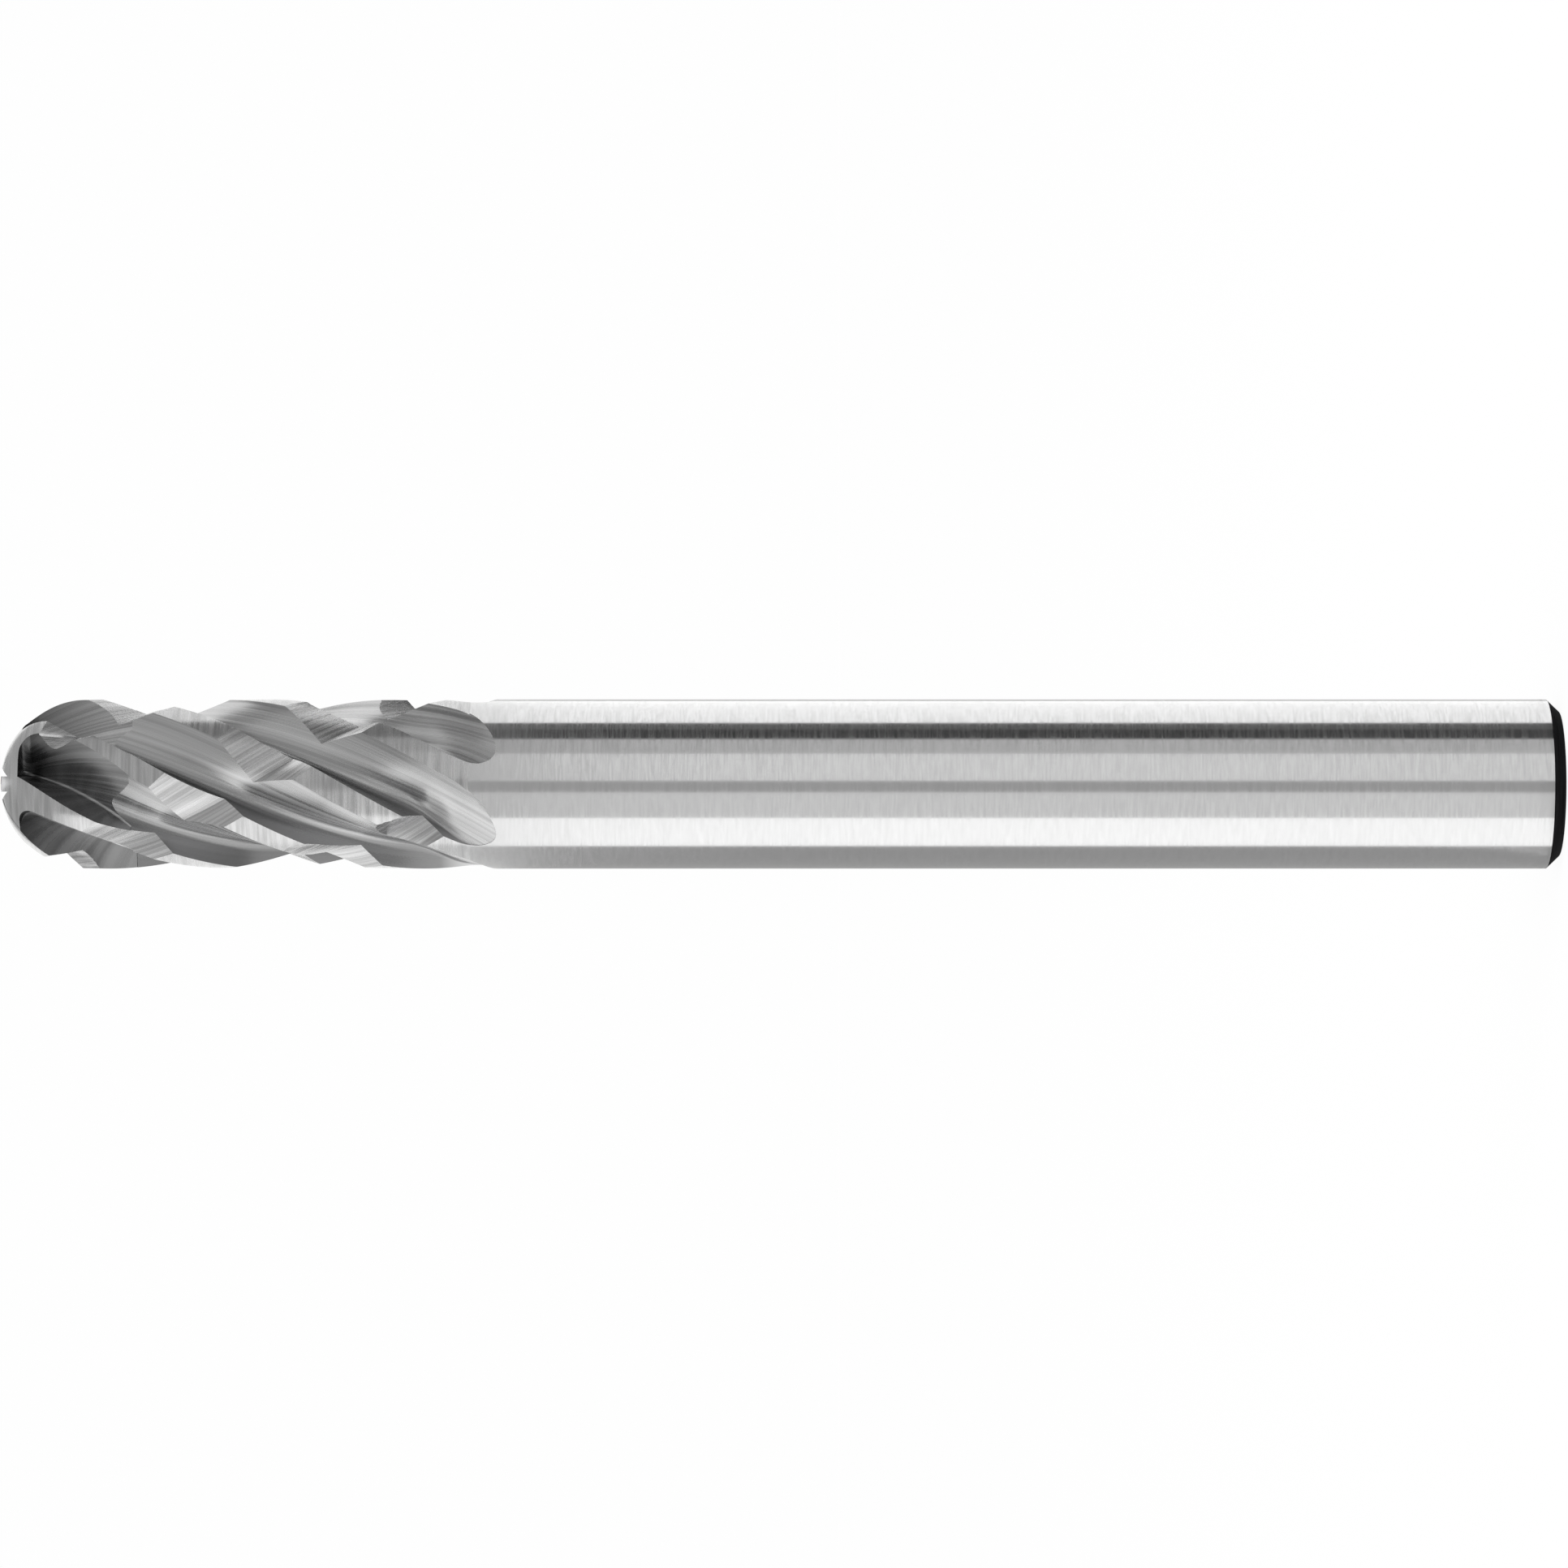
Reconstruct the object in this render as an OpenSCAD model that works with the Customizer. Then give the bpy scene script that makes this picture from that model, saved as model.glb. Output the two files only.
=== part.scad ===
/* [Tool] */
// Length of the whole tool, from the shank's flat end to the ball's tip
total_l = 55.2; // [50:0.2:75]
// Diameter of the shank
shank_d = 6; // [6:0.5:8]
// Height of the bevel around the shank's flat end
bevel_h = 0.45; // [0.1:0.05:0.8]
// Depth of the bevel, measured from the shank's side
bevel_w = 0.43; // [0.1:0.01:0.8]

/* [Head] */
// Cutting diameter of the head
head_d = 6; // [5:0.5:6]
// Length of the teeth, from the tip to where the lands stop
cut_l = 16.7; // [14:0.1:20]
// Length in which the flutes rise out past the end of the lands
runout_l = 0.95; // [0.6:0.05:1.6]

/* [Teeth] */
// Number of teeth and flutes
teeth = 6; // [5:1:7]
// Slope of the right-hand teeth against the axis, in degrees
helix_angle = 29.5; // [20:0.5:35]
// Turn of the first tooth's edge at the tip, in degrees
tooth_turn = -76.9; // [-180:0.1:180]
// Width of a land behind its cutting edge, in degrees of turn
land_turn = 16; // [10:1:20]
// Fall of a land behind its cutting edge, in degrees
land_relief = 8; // [2:0.5:12]
// Depth of a flute below the cutting edge
flute_depth = 1.1; // [0.7:0.05:1.2]
// Lean of the rake face that makes the tooth thicker at its root, in degrees
rake_lean = 8; // [0:1:15]
// Radius in the root of a flute
root_round = 0.22; // [0.1:0.02:0.3]
// Outward swell of a tooth's back at the middle of the flute
back_swell = 0.12; // [0:0.02:0.2]

/* [Chip breakers] */
// Number of left-hand breaker grooves
breakers = 3; // [2:1:4]
// Slope of a breaker groove against the axis at the tip, in degrees
breaker_tip_angle = 27.6; // [20:0.2:40]
// Slope of a breaker groove against the axis at the end of the lands
breaker_end_angle = 42.5; // [25:0.5:50]
// Turn of the first breaker groove at the tip, in degrees
breaker_turn = 161.5; // [-180:0.5:180]
// Depth of a breaker groove below the cutting edge
breaker_depth = 0.6; // [0.3:0.05:0.7]
// Length along the axis of a groove's long wall
breaker_long = 3.5; // [2:0.1:4]
// Length along the axis of a groove's short wall
breaker_short = 1.4; // [0.8:0.1:2.5]

/* [Ball nose] */
// Length of the cap that the end gashes leave at the tip
cap_l = 0.8; // [0.5:0.05:1]
// Length from the tip at which an end gash comes out of its flute
gash_l = 4; // [3.5:0.05:5]
// Slope of an end gash's floor against the axis, in degrees
gash_slope = 27; // [20:0.5:30]
// Radius between an end gash's floor and the upright wall that leaves the cap
gash_round = 0.55; // [0.3:0.05:0.8]
// Depth below the tip of the gullies that part the teeth on the cap
gully_depth = 0.38; // [0.2:0.02:0.5]
// Distance from the axis of the upright wall of a gully
gully_offset = 0.27; // [0.15:0.01:0.4]

/* [Hidden] */
R = head_d / 2;
pitch = 360 / teeth;
twist = tan(helix_angle) * 180 / (PI * R);
flute_turn = pitch - land_turn;
head_l = cut_l + runout_l + 0.25;
land_drop = R * tan(land_relief) * land_turn * PI / 180;
rise_l = 1.75;
gash_bite = 0.03;
gash_change = [5.7, 0.02];
spare = 0.35;
body_step = 0.577;
flute_step = 0.552;
gash_step = 0.543;
groove_step = 0.589;
breaker_rate = tan(breaker_tip_angle) * 180 / (PI * R);
breaker_gain = (tan(breaker_end_angle) * 180 / (PI * R) - breaker_rate) / (2 * cut_l);
gully_turn = tooth_turn - 13.1;

// Radius of the ball-nosed envelope at a distance s below the tip
function ball_r(s) = s >= R ? R : sqrt(max(0, R * R - (R - s) * (R - s)));

// Turn of a tooth's edge at a distance s below the tip
function edge_turn(s) = tooth_turn - twist * s;

// Point at radius r and turn a, at a distance s below the tip
function at(r, a, s) = [r * cos(a), r * sin(a), total_l - s];

// Distances from first to last in even steps no longer than step
function steps(first, last, step) = let (n = ceil((last - first) / step))
    [for (i = [0 : n]) first + (last - first) * i / n];

// Faces of a skin over rings of n points each, with flat ends
function skin(n, rings) = concat(
    [[for (i = [0 : n - 1]) i]],
    [for (k = [0 : rings - 2], i = [0 : n - 1]) let (j = (i + 1) % n)
        [k * n + i, (k + 1) * n + i, (k + 1) * n + j]],
    [for (k = [0 : rings - 2], i = [0 : n - 1]) let (j = (i + 1) % n)
        [k * n + i, (k + 1) * n + j, k * n + j]],
    [[for (i = [n - 1 : -1 : 0]) (rings - 1) * n + i]]
);

module swept(rings) {
    polyhedron(
        points = [for (ring = rings) each ring],
        faces = skin(len(rings[0]), len(rings))
    );
}

// Section point p, whose x axis points at the tooth's edge, set at a distance s below the tip
function placed(p, s) = at(norm(p), edge_turn(s) + atan2(p.y, p.x), s);

function turned(p, a) = [p.x * cos(a) - p.y * sin(a), p.x * sin(a) + p.y * cos(a)];

// Corner at p between the directions a and b, rounded to a radius
function rounded(p, a, b, radius) = let (
    half = acos(a * b) / 2,
    hub = p + (a + b) / norm(a + b) * radius / sin(half),
    from = p + a * radius / tan(half) - hub,
    to = p + b * radius / tan(half) - hub
) [for (t = [0 : 1 / 3 : 1]) let (v = from * (1 - t) + to * t) hub + v / norm(v) * radius];

// Share of the envelope's radius that a land keeps at a turn u behind its edge
function relief(u) = 1 - tan(land_relief) * max(0, min(u, 1.6 * land_turn)) * PI / 180;

// Turns behind an edge, from the spare stock in front of it that the flute cuts away
land_turns = [-4, 0.5, 0.55 * land_turn, 1.25 * land_turn, 0.6 * pitch, pitch - 4.01];
land_steps = concat([for (a = [5 : 9.5 : 81]) R * (1 - cos(a))], steps(R, cut_l, body_step));

module toothed_body() {
    swept([
        for (s = land_steps) [
            for (k = [0 : teeth - 1], u = land_turns)
                at(ball_r(s) * relief(u), edge_turn(s) - k * pitch - u, s)
        ]
    ]);
}

// Depth of a flute at its rake face, which rises to the surface where the lands stop
function flute_fall(s) = let (t = (s - cut_l + rise_l) / rise_l)
    flute_depth * (t <= 0 ? 1 : t >= 1 ? 0.02 : 1 - t * (0.6 + 0.38 * t));

// Width of a flute's mouth, in degrees, which closes in a round past the lands
function flute_mouth(s) = s <= cut_l ? flute_turn
    : 2 * acos(1 - (1 - cos(flute_turn / 2)) * max(0.001, 1 - (s - cut_l) / runout_l));

// Section of a flute with a rounded root, whose back meets the land of the next tooth
function flute_section(s) = let (
    depth = flute_fall(s),
    mouth = flute_mouth(s),
    root = [R - depth, depth * tan(rake_lean)],
    back_r = R - land_drop * min(1, max(0, 1 - (s - cut_l) / runout_l)),
    back = [back_r * cos(mouth), back_r * sin(mouth)],
    rake = [R, 0] - root,
    up = rake / norm(rake),
    l = norm(back - root),
    along = (back - root) / l,
    side = [along.y, -along.x] * back_swell * depth / flute_depth
) concat(
    [root + up * (depth + spare)],
    rounded(root, up, along, min(root_round, 0.4 * depth)),
    [for (t = [0.4, 0.7, 1]) root + along * l * t + side * 4 * t * (1 - t)],
    [root + along * (l + spare)],
    [turned([1.4 * R, 0], mouth / 2)]
);

flute_steps = concat(
    steps(-0.3, cut_l - rise_l, flute_step),
    steps(cut_l - rise_l + 0.25, cut_l, 0.3),
    [for (t = [0.2, 0.4, 0.6, 0.78, 0.9, 0.97, 1]) cut_l + runout_l * t]
);

module flute() {
    swept([
        for (s = flute_steps) [
            for (p = flute_section(s)) placed(turned(p, (flute_turn - flute_mouth(s)) / 2), s)
        ]
    ]);
}

// Distance from the axis to the flat floor of an end gash, which rounds up to the cap's wall
function gash_floor(s, slope, start) = let (t = max(0, 1 - (s - start) / gash_round))
    R - flute_depth + 0.1 - (gash_l - s) * tan(slope) + gash_round * (1 - sqrt(max(0, 1 - t * t)));

// Section of an end gash between the rake face and its floor
function gash_section(s, slope, start) = let (
    tilt = twist * (gash_l - s),
    depth = (R * cos(tilt) + gash_bite * sin(tilt) - gash_floor(s, slope, start)) / cos(tilt - rake_lean),
    root = [R - depth * cos(rake_lean), depth * sin(rake_lean) - gash_bite],
    up = [cos(rake_lean), -sin(rake_lean)],
    along = [sin(tilt), cos(tilt)]
) concat(
    [root + up * (depth + spare)],
    rounded(root, up, along, root_round),
    [root + along * 2.4 * R]
);

module end_gash(slope, start) {
    gash_steps = concat(
        [for (a = [0 : 15 : 75]) start + gash_round * (1 - cos(a))],
        steps(start + gash_round, gash_l + 0.8, gash_step)
    );
    swept([for (s = gash_steps) [for (p = gash_section(s, slope, start)) placed(p, s)]]);
}

// Gully with one upright and one slanting wall, cut across the cap in front of a tooth
module gully(depth) {
    translate([0, 0, total_l]) rotate(gully_turn) rotate([90, 0, 90])
        linear_extrude(2 * R, center = true)
            polygon([[gully_offset, -depth], [gully_offset + R, R - depth], [gully_offset, R]]);
}

// Turn of a breaker groove at a distance s below the tip
function groove_turn(s) = breaker_turn + breaker_rate * s + breaker_gain * s * s;

// Depth of a breaker groove, which fades near the cap and before the lands stop
function groove_fall(s) = breaker_depth * min(1, (cut_l - 0.5 - s) / 0.9, (s - cap_l) / 1.3);

// Point of a groove's section, h above its valley and x along the side of the head
function groove_point(s, h, x) = let (
    lean = s < R ? acos((R - s) / R) : 90,
    r = R - groove_fall(s) + h
) at(
    s < R ? r * sin(lean) + x * cos(lean) : r,
    groove_turn(s),
    s < R ? R - r * cos(lean) + x * sin(lean) : s + x
);

// Share of its full length that a groove's long wall has, which shrinks near the lands' end
function long_share(s) = min(1, max(0.3, (cut_l - 0.85 - s) / 2.1));

// Share of its usual length that a groove's short wall has, which is wider over the ball
function short_share(s) = s < R ? 1.5 : 1;

module breaker_groove() {
    rise = 1.2;
    swept([
        for (s = steps(cap_l - 0.3, cut_l, groove_step)) [
            groove_point(s, 0, 0),
            groove_point(s, rise, -rise / breaker_depth * breaker_long * long_share(s)),
            groove_point(s, rise, rise / breaker_depth * breaker_short * short_share(s))
        ]
    ]);
}

module head() {
    resize([head_d, head_d, 0])
    difference() {
        union() {
            toothed_body();
            translate([0, 0, total_l - head_l])
                cylinder(h = head_l - cut_l + 0.01, r = R, $fn = 96);
        }
        for (k = [0 : teeth - 1]) rotate(k * pitch) {
            flute();
            end_gash(gash_slope - (k % 2) * gash_change[0], cap_l + (k % 2) * gash_change[1]);
            gully(gully_depth - 0.006 * k);
        }
        for (k = [0 : breakers - 1]) rotate(k * 360 / breakers) breaker_groove();
    }
}

module shank() {
    r = shank_d / 2;
    cylinder(h = bevel_h, r1 = r - bevel_w, r2 = r, $fn = 96);
    translate([0, 0, bevel_h]) cylinder(h = total_l - head_l - bevel_h, r = r, $fn = 96);
}

module burr() {
    color("silver") union() {
        shank();
        head();
    }
}

burr();
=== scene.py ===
"""Looks of a solid carbide burr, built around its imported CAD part.

The teeth, end gashes and chip breakers are cut at a fine step by a Geometry Nodes tree, so that
reflections run smoothly over them, and each kind of cut carries grinding marks of its own. The
flutes' depth and the nose's centre can't be seen in the photograph and are guessed.
"""

import logging
import math
from dataclasses import dataclass
from enum import Enum
from typing import Any, Iterable, Sequence

import bpy
import numpy as np
from mathutils import Matrix, Vector


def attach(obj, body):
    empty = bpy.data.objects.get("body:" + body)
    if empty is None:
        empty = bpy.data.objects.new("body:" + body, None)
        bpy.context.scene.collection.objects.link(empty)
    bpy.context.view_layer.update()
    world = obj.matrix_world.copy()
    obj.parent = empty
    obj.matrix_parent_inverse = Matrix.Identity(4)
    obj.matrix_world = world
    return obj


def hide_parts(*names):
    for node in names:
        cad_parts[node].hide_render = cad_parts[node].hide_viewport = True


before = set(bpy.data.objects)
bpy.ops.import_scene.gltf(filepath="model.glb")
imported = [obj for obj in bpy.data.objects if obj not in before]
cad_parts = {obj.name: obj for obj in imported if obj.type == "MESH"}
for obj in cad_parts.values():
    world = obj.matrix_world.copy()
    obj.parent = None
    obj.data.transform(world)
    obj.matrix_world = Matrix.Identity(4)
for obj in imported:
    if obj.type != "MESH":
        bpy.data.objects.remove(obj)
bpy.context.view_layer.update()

MM = 0.001
CUT_NAME = "cut"
NORMAL_NAME = "ground_normal"
# corner attribute that holds painted shade and highlight, as shares of the metal's colour
PAINTED_SHADE_AND_HIGHLIGHT_NAME = "tone"
GLOW_NAME = "glow"
CUTTER_CREASE = 26.0
SHANK_CREASE = 20.0
LOG = logging.getLogger("burr")

Colour = tuple[float, float, float]
Corner = tuple[float, float, float]
Cards = tuple[tuple[float, float, "Grey"], ...]


class Cut(Enum):
    """What made a face of the burr. The number is stored on the face while the solid is cut."""

    SHANK = 1
    BEVEL = 2
    LAND = 3
    FLUTE = 4
    GASH = 5
    BREAKER = 6


class Grey(Enum):
    """Even ladder of plain greys for the studio's cards, as they show in the metal."""

    WHITE = "#FFFFFF"
    PALE = "#DADADA"
    LIGHT = "#B6B6B6"
    MID = "#929292"
    DIM = "#6E6E6E"
    DARK = "#4A4A4A"
    BLACK = "#262626"


class Marks(Enum):
    """The path that the grinding marks of a face follow."""

    ROUND_THE_AXIS = "round the axis"
    ALONG_FLUTE = "along the flute"
    ALONG_GASH = "along the gash"
    ALONG_BREAKER = "along the breaker groove"


def linear(hex_colour: str) -> tuple[float, float, float, float]:
    """Turn an sRGB hex colour into linear RGBA.

    Args:
        hex_colour: six hex digits, with or without a leading #.

    Returns:
        The linear red, green and blue, and an alpha of 1.
    """
    digits = hex_colour.lstrip("#")
    parts = [int(digits[i:i + 2], 16) / 255 for i in (0, 2, 4)]
    return (*[p / 12.92 if p <= 0.04045 else ((p + 0.055) / 1.055) ** 2.4 for p in parts], 1.0)


def add_node(
    tree: bpy.types.NodeTree,
    kind: str,
    inputs: dict[int | str, Any] | None = None,
    **settings: Any,
) -> bpy.types.Node:
    """Add a node with its settings and links.

    Args:
        tree: the tree that gets the node.
        kind: the node's type name.
        inputs: for each input, by name or number, a value, a socket, or a list of sockets.
        settings: the node's own properties.

    Returns:
        The new node.
    """
    made = tree.nodes.new(kind)
    for name, value in settings.items():
        setattr(made, name, value)
    for key, value in (inputs or {}).items():
        socket = made.inputs[key]
        for one in value if isinstance(value, list) else [value]:
            if isinstance(one, bpy.types.NodeSocket):
                tree.links.new(one, socket)
            else:
                socket.default_value = one
    return made


def math_node(tree: bpy.types.NodeTree, operation: str, *values: Any) -> bpy.types.NodeSocket:
    """Add a Math node with its inputs in order, each a number or a socket, and return the result's socket."""
    return add_node(tree, "ShaderNodeMath", dict(enumerate(values)), operation=operation).outputs[0]


def vector_node(tree: bpy.types.NodeTree, operation: str, values: dict[int | str, Any]) -> bpy.types.NodeSocket:
    """Add a Vector Math node with its inputs and return the result's socket."""
    return add_node(tree, "ShaderNodeVectorMath", values, operation=operation).outputs[0]


def bare_tree(owner: Any) -> bpy.types.NodeTree:
    """Give a material or world an empty node tree and return it.

    Args:
        owner: the material or world.

    Returns:
        The empty tree.
    """
    owner.use_nodes = True
    owner.node_tree.nodes.clear()
    return owner.node_tree


def seen_rays(tree: bpy.types.NodeTree) -> bpy.types.NodeSocket:
    """Add a socket that is 1 for rays from the camera, from metal and through glass.

    Args:
        tree: the tree that gets the nodes.

    Returns:
        The socket.
    """
    path = add_node(tree, "ShaderNodeLightPath").outputs
    either = math_node(tree, "MAXIMUM", path["Is Camera Ray"], path["Is Glossy Ray"])
    return math_node(tree, "MAXIMUM", either, path["Is Transmission Ray"])


def linked(name: str, data: Any) -> bpy.types.Object:
    """Put data into the scene as an object at the origin and return it.

    Args:
        name: the object's name.
        data: its mesh, lamp or camera.

    Returns:
        The object.
    """
    made = bpy.data.objects.new(name, data)
    bpy.context.scene.collection.objects.link(made)
    return made


def turn_matrix(degrees: float) -> np.ndarray:
    """Return the matrix of a turn about the axis."""
    a = math.radians(degrees)
    return np.array([[math.cos(a), -math.sin(a), 0], [math.sin(a), math.cos(a), 0], [0, 0, 1]])


def unit(v: np.ndarray) -> np.ndarray:
    """Return a vector at length 1."""
    return v / np.linalg.norm(v)


def spaced(first: float, last: float, step: float) -> list[float]:
    """List distances from first to last, both among them, in even steps no longer than a step."""
    return list(np.linspace(first, last, math.ceil((last - first) / step) + 1))


@dataclass(frozen=True)
class Burr:
    """Sizes of the tool in millimetres and degrees, as in the part's source, apart from the land's relief.

    The source has 8 degrees of relief. Less was chosen here by the bands of light on the lands.
    """

    total_l: float = 55.2
    shank_d: float = 6.0
    bevel_h: float = 0.45
    bevel_w: float = 0.43
    head_d: float = 6.0
    cut_l: float = 16.7
    runout_l: float = 0.95
    teeth: int = 6
    helix_angle: float = 29.5
    tooth_turn: float = -76.9
    land_turn: float = 16.0
    land_relief: float = 1.5

    @property
    def r(self) -> float:
        """Radius of the head."""
        return self.head_d / 2

    @property
    def pitch(self) -> float:
        """Turn from one tooth to the next, in degrees."""
        return 360 / self.teeth

    @property
    def twist(self) -> float:
        """Turn of a tooth for each millimetre along the axis, in degrees."""
        return math.degrees(math.tan(math.radians(self.helix_angle)) / self.r)

    def ball_r(self, s: float) -> float:
        """Radius of the ball-nosed envelope at a distance s below the tip."""
        return self.r if s >= self.r else math.sqrt(max(0.0, self.r**2 - (self.r - s) ** 2))

    def edge_turn(self, s: float) -> float:
        """Turn of the first tooth's edge at a distance s below the tip, in degrees."""
        return self.tooth_turn - self.twist * s

    def at(self, radius: float, turn: float, s: float) -> Corner:
        """Point at a radius and a turn in degrees, at a distance s below the tip."""
        a = math.radians(turn)
        return radius * math.cos(a), radius * math.sin(a), self.total_l - s

    def placed(self, p: np.ndarray, s: float) -> Corner:
        """Set a section's point, whose x axis points at the tooth's edge, at a distance s below the tip."""
        turn = self.edge_turn(s) + math.degrees(math.atan2(p[1], p[0]))
        return self.at(float(np.hypot(p[0], p[1])), turn, s)


def read(items: Any, name: str, size: int, kind: type) -> np.ndarray:
    """Read a property of every item of a mesh's collection, as one row of size numbers of a kind for each.

    Args:
        items: the collection, such as a mesh's polygons.
        name: the property.
        size: how many numbers it has.
        kind: the numbers' type.

    Returns:
        One row for each item.
    """
    flat = np.zeros(len(items) * size, kind)
    items.foreach_get(name, flat)
    return flat.reshape(-1, size)


def closed_mesh(
    name: str,
    points: Sequence[Sequence[float]],
    faces: Sequence[Sequence[int]],
    cuts: Cut | Sequence[Cut],
    crease: float,
    is_cutter: bool,
    tone: Sequence[float] | None = None,
) -> bpy.types.Object:
    """Make a closed mesh that remembers its own smooth normals and what each face is.

    Args:
        name: the object's name.
        points: the corners in millimetres.
        faces: the corners' numbers, all turned the same way.
        cuts: what every face is, or one for each face.
        crease: the angle in degrees above which an edge is sharp.
        is_cutter: true for a solid that is taken away, whose normals end up the other way round.
        tone: for each corner the painted shade or highlight, as a share by which the metal is darker or lighter
            there.

    Returns:
        An object at the origin, with the normals, cuts and painted shade and highlight as attributes.
    """
    mesh = bpy.data.meshes.new(name)
    mesh.from_pydata([[c * MM for c in p] for p in points], [], [list(f) for f in faces])
    mesh.validate()
    corners = np.array([p.co for p in mesh.vertices], float)
    rings = [corners[list(face.vertices)] for face in mesh.polygons]
    if sum(np.dot(r[0], np.cross(r[k], r[k + 1])) for r in rings for k in range(1, len(r) - 1)) < 0:
        mesh.flip_normals()
    mesh.polygons.foreach_set("use_smooth", [True] * len(mesh.polygons))
    mesh.set_sharp_from_angle(angle=math.radians(crease))
    normals = read(mesh.corner_normals, "vector", 3, np.float32).ravel()
    store = mesh.attributes.new(NORMAL_NAME, "FLOAT_VECTOR", "CORNER")
    store.data.foreach_set("vector", -normals if is_cutter else normals)
    tones = np.zeros(len(mesh.loops), np.float32)
    if tone is not None:
        tones = np.array(tone, np.float32)[read(mesh.loops, "vertex_index", 1, np.int32)[:, 0]]
    mesh.attributes.new(PAINTED_SHADE_AND_HIGHLIGHT_NAME, "FLOAT", "CORNER").data.foreach_set("value", tones)
    kinds = [cuts] * len(mesh.polygons) if isinstance(cuts, Cut) else list(cuts)
    mesh.attributes.new(CUT_NAME, "INT", "FACE").data.foreach_set("value", [k.value for k in kinds])
    return linked(name, mesh)


def ring_faces(rings: int, n: int) -> list[list[int]]:
    """List the faces of a skin over rings of n points: the flat ends and then the side's quads.

    Args:
        rings: how many rings there are.
        n: the points in each.

    Returns:
        The faces, as corner numbers.
    """
    faces = [list(range(n)), [(rings - 1) * n + i for i in reversed(range(n))]]
    for k in range(rings - 1):
        for i in range(n):
            j = (i + 1) % n
            faces.append([k * n + j, k * n + i, (k + 1) * n + i, (k + 1) * n + j])
    return faces


def swept(
    name: str,
    rings: Sequence[Sequence[Sequence[float]]],
    cut: Cut,
    is_cutter: bool,
    tone: Sequence[Sequence[float]] | None = None,
) -> bpy.types.Object:
    """Skin a row of rings into a closed mesh.

    Args:
        name: the object's name.
        rings: sections with the same number of points each.
        cut: what the faces are.
        is_cutter: true for a solid that is taken away.
        tone: the painted shade or highlight at each point of each ring.

    Returns:
        The object.
    """
    n = len(rings[0])
    points = [p for ring in rings for p in ring]
    tones = None if tone is None else [t for ring in tone for t in ring]
    return closed_mesh(name, points, ring_faces(len(rings), n), cut, CUTTER_CREASE, is_cutter, tones)


@dataclass(frozen=True)
class Shank:
    """The ground shank with its bevelled foot."""

    burr: Burr
    sides: int = 192
    overlap: float = 0.01

    def mesh(self) -> bpy.types.Object:
        """Build the shank, with its bevel, from its foot to the lands' end.

        Returns:
            The object.
        """
        b = self.burr
        r = b.shank_d / 2
        top = b.total_l - b.cut_l + self.overlap
        rows = [(r - b.bevel_w, 0.0), (r, b.bevel_h), *[(r, z) for z in spaced(b.bevel_h, top, 4.0)[1:]]]
        turns = [math.radians(360 * i / self.sides) for i in range(self.sides)]
        points = [(q * math.cos(a), q * math.sin(a), z) for q, z in rows for a in turns]
        faces = ring_faces(len(rows), self.sides)
        cuts = [Cut.BEVEL, Cut.SHANK] + [Cut.BEVEL] * self.sides
        cuts += [Cut.SHANK] * (len(faces) - len(cuts))
        return closed_mesh("shank_blank", points, faces, cuts, SHANK_CREASE, False)


@dataclass(frozen=True)
class ToothBlank:
    """The relieved blank of the head before its flutes are ground."""

    burr: Burr
    step: float = 0.13
    spare_turn: float = 4.0
    relief_share: float = 1.6
    land_step: float = 2.2
    ball_step: float = 2.4
    back_turns: tuple[float, float] = (36.0, 46.0)

    def turns(self) -> list[float]:
        """List the turns behind an edge at which the blank has a point."""
        land = spaced(0.3, self.relief_share * self.burr.land_turn, self.land_step)
        return [-self.spare_turn, *land, *self.back_turns, self.burr.pitch - self.spare_turn - 0.01]

    def relief(self, u: float) -> float:
        """Share of the envelope's radius that the land keeps at a turn u behind its edge."""
        fall = math.tan(math.radians(self.burr.land_relief))
        return 1 - fall * math.radians(max(0.0, min(u, self.relief_share * self.burr.land_turn)))

    def mesh(self) -> bpy.types.Object:
        """Build the blank from the tip to the lands' end.

        Returns:
            The object.
        """
        b = self.burr
        ball = [b.r * (1 - math.cos(math.radians(a))) for a in np.arange(4.0, 88.0, self.ball_step)]
        rows = ball + spaced(b.r, b.cut_l, self.step)
        rings = [
            [
                b.at(b.ball_r(s) * self.relief(u), b.edge_turn(s) - k * b.pitch - u, s)
                for k in range(b.teeth)
                for u in self.turns()
            ]
            for s in rows
        ]
        return swept("tooth_blank", rings, Cut.LAND, False)


def rounded(p: np.ndarray, a: np.ndarray, b: np.ndarray, radius: float, points: int) -> list[np.ndarray]:
    """Round the corner of a section.

    Args:
        p: the corner.
        a: direction to the point before it.
        b: direction to the point after it.
        radius: radius of the round.
        points: how many points the round has.

    Returns:
        The round's points from a's side to b's.
    """
    half = math.acos(float(np.dot(a, b))) / 2
    hub = p + unit(a + b) * radius / math.sin(half)
    first = p + a * radius / math.tan(half) - hub
    last = p + b * radius / math.tan(half) - hub
    return [hub + unit(first * (1 - t) + last * t) * radius for t in np.linspace(0, 1, points)]


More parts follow.
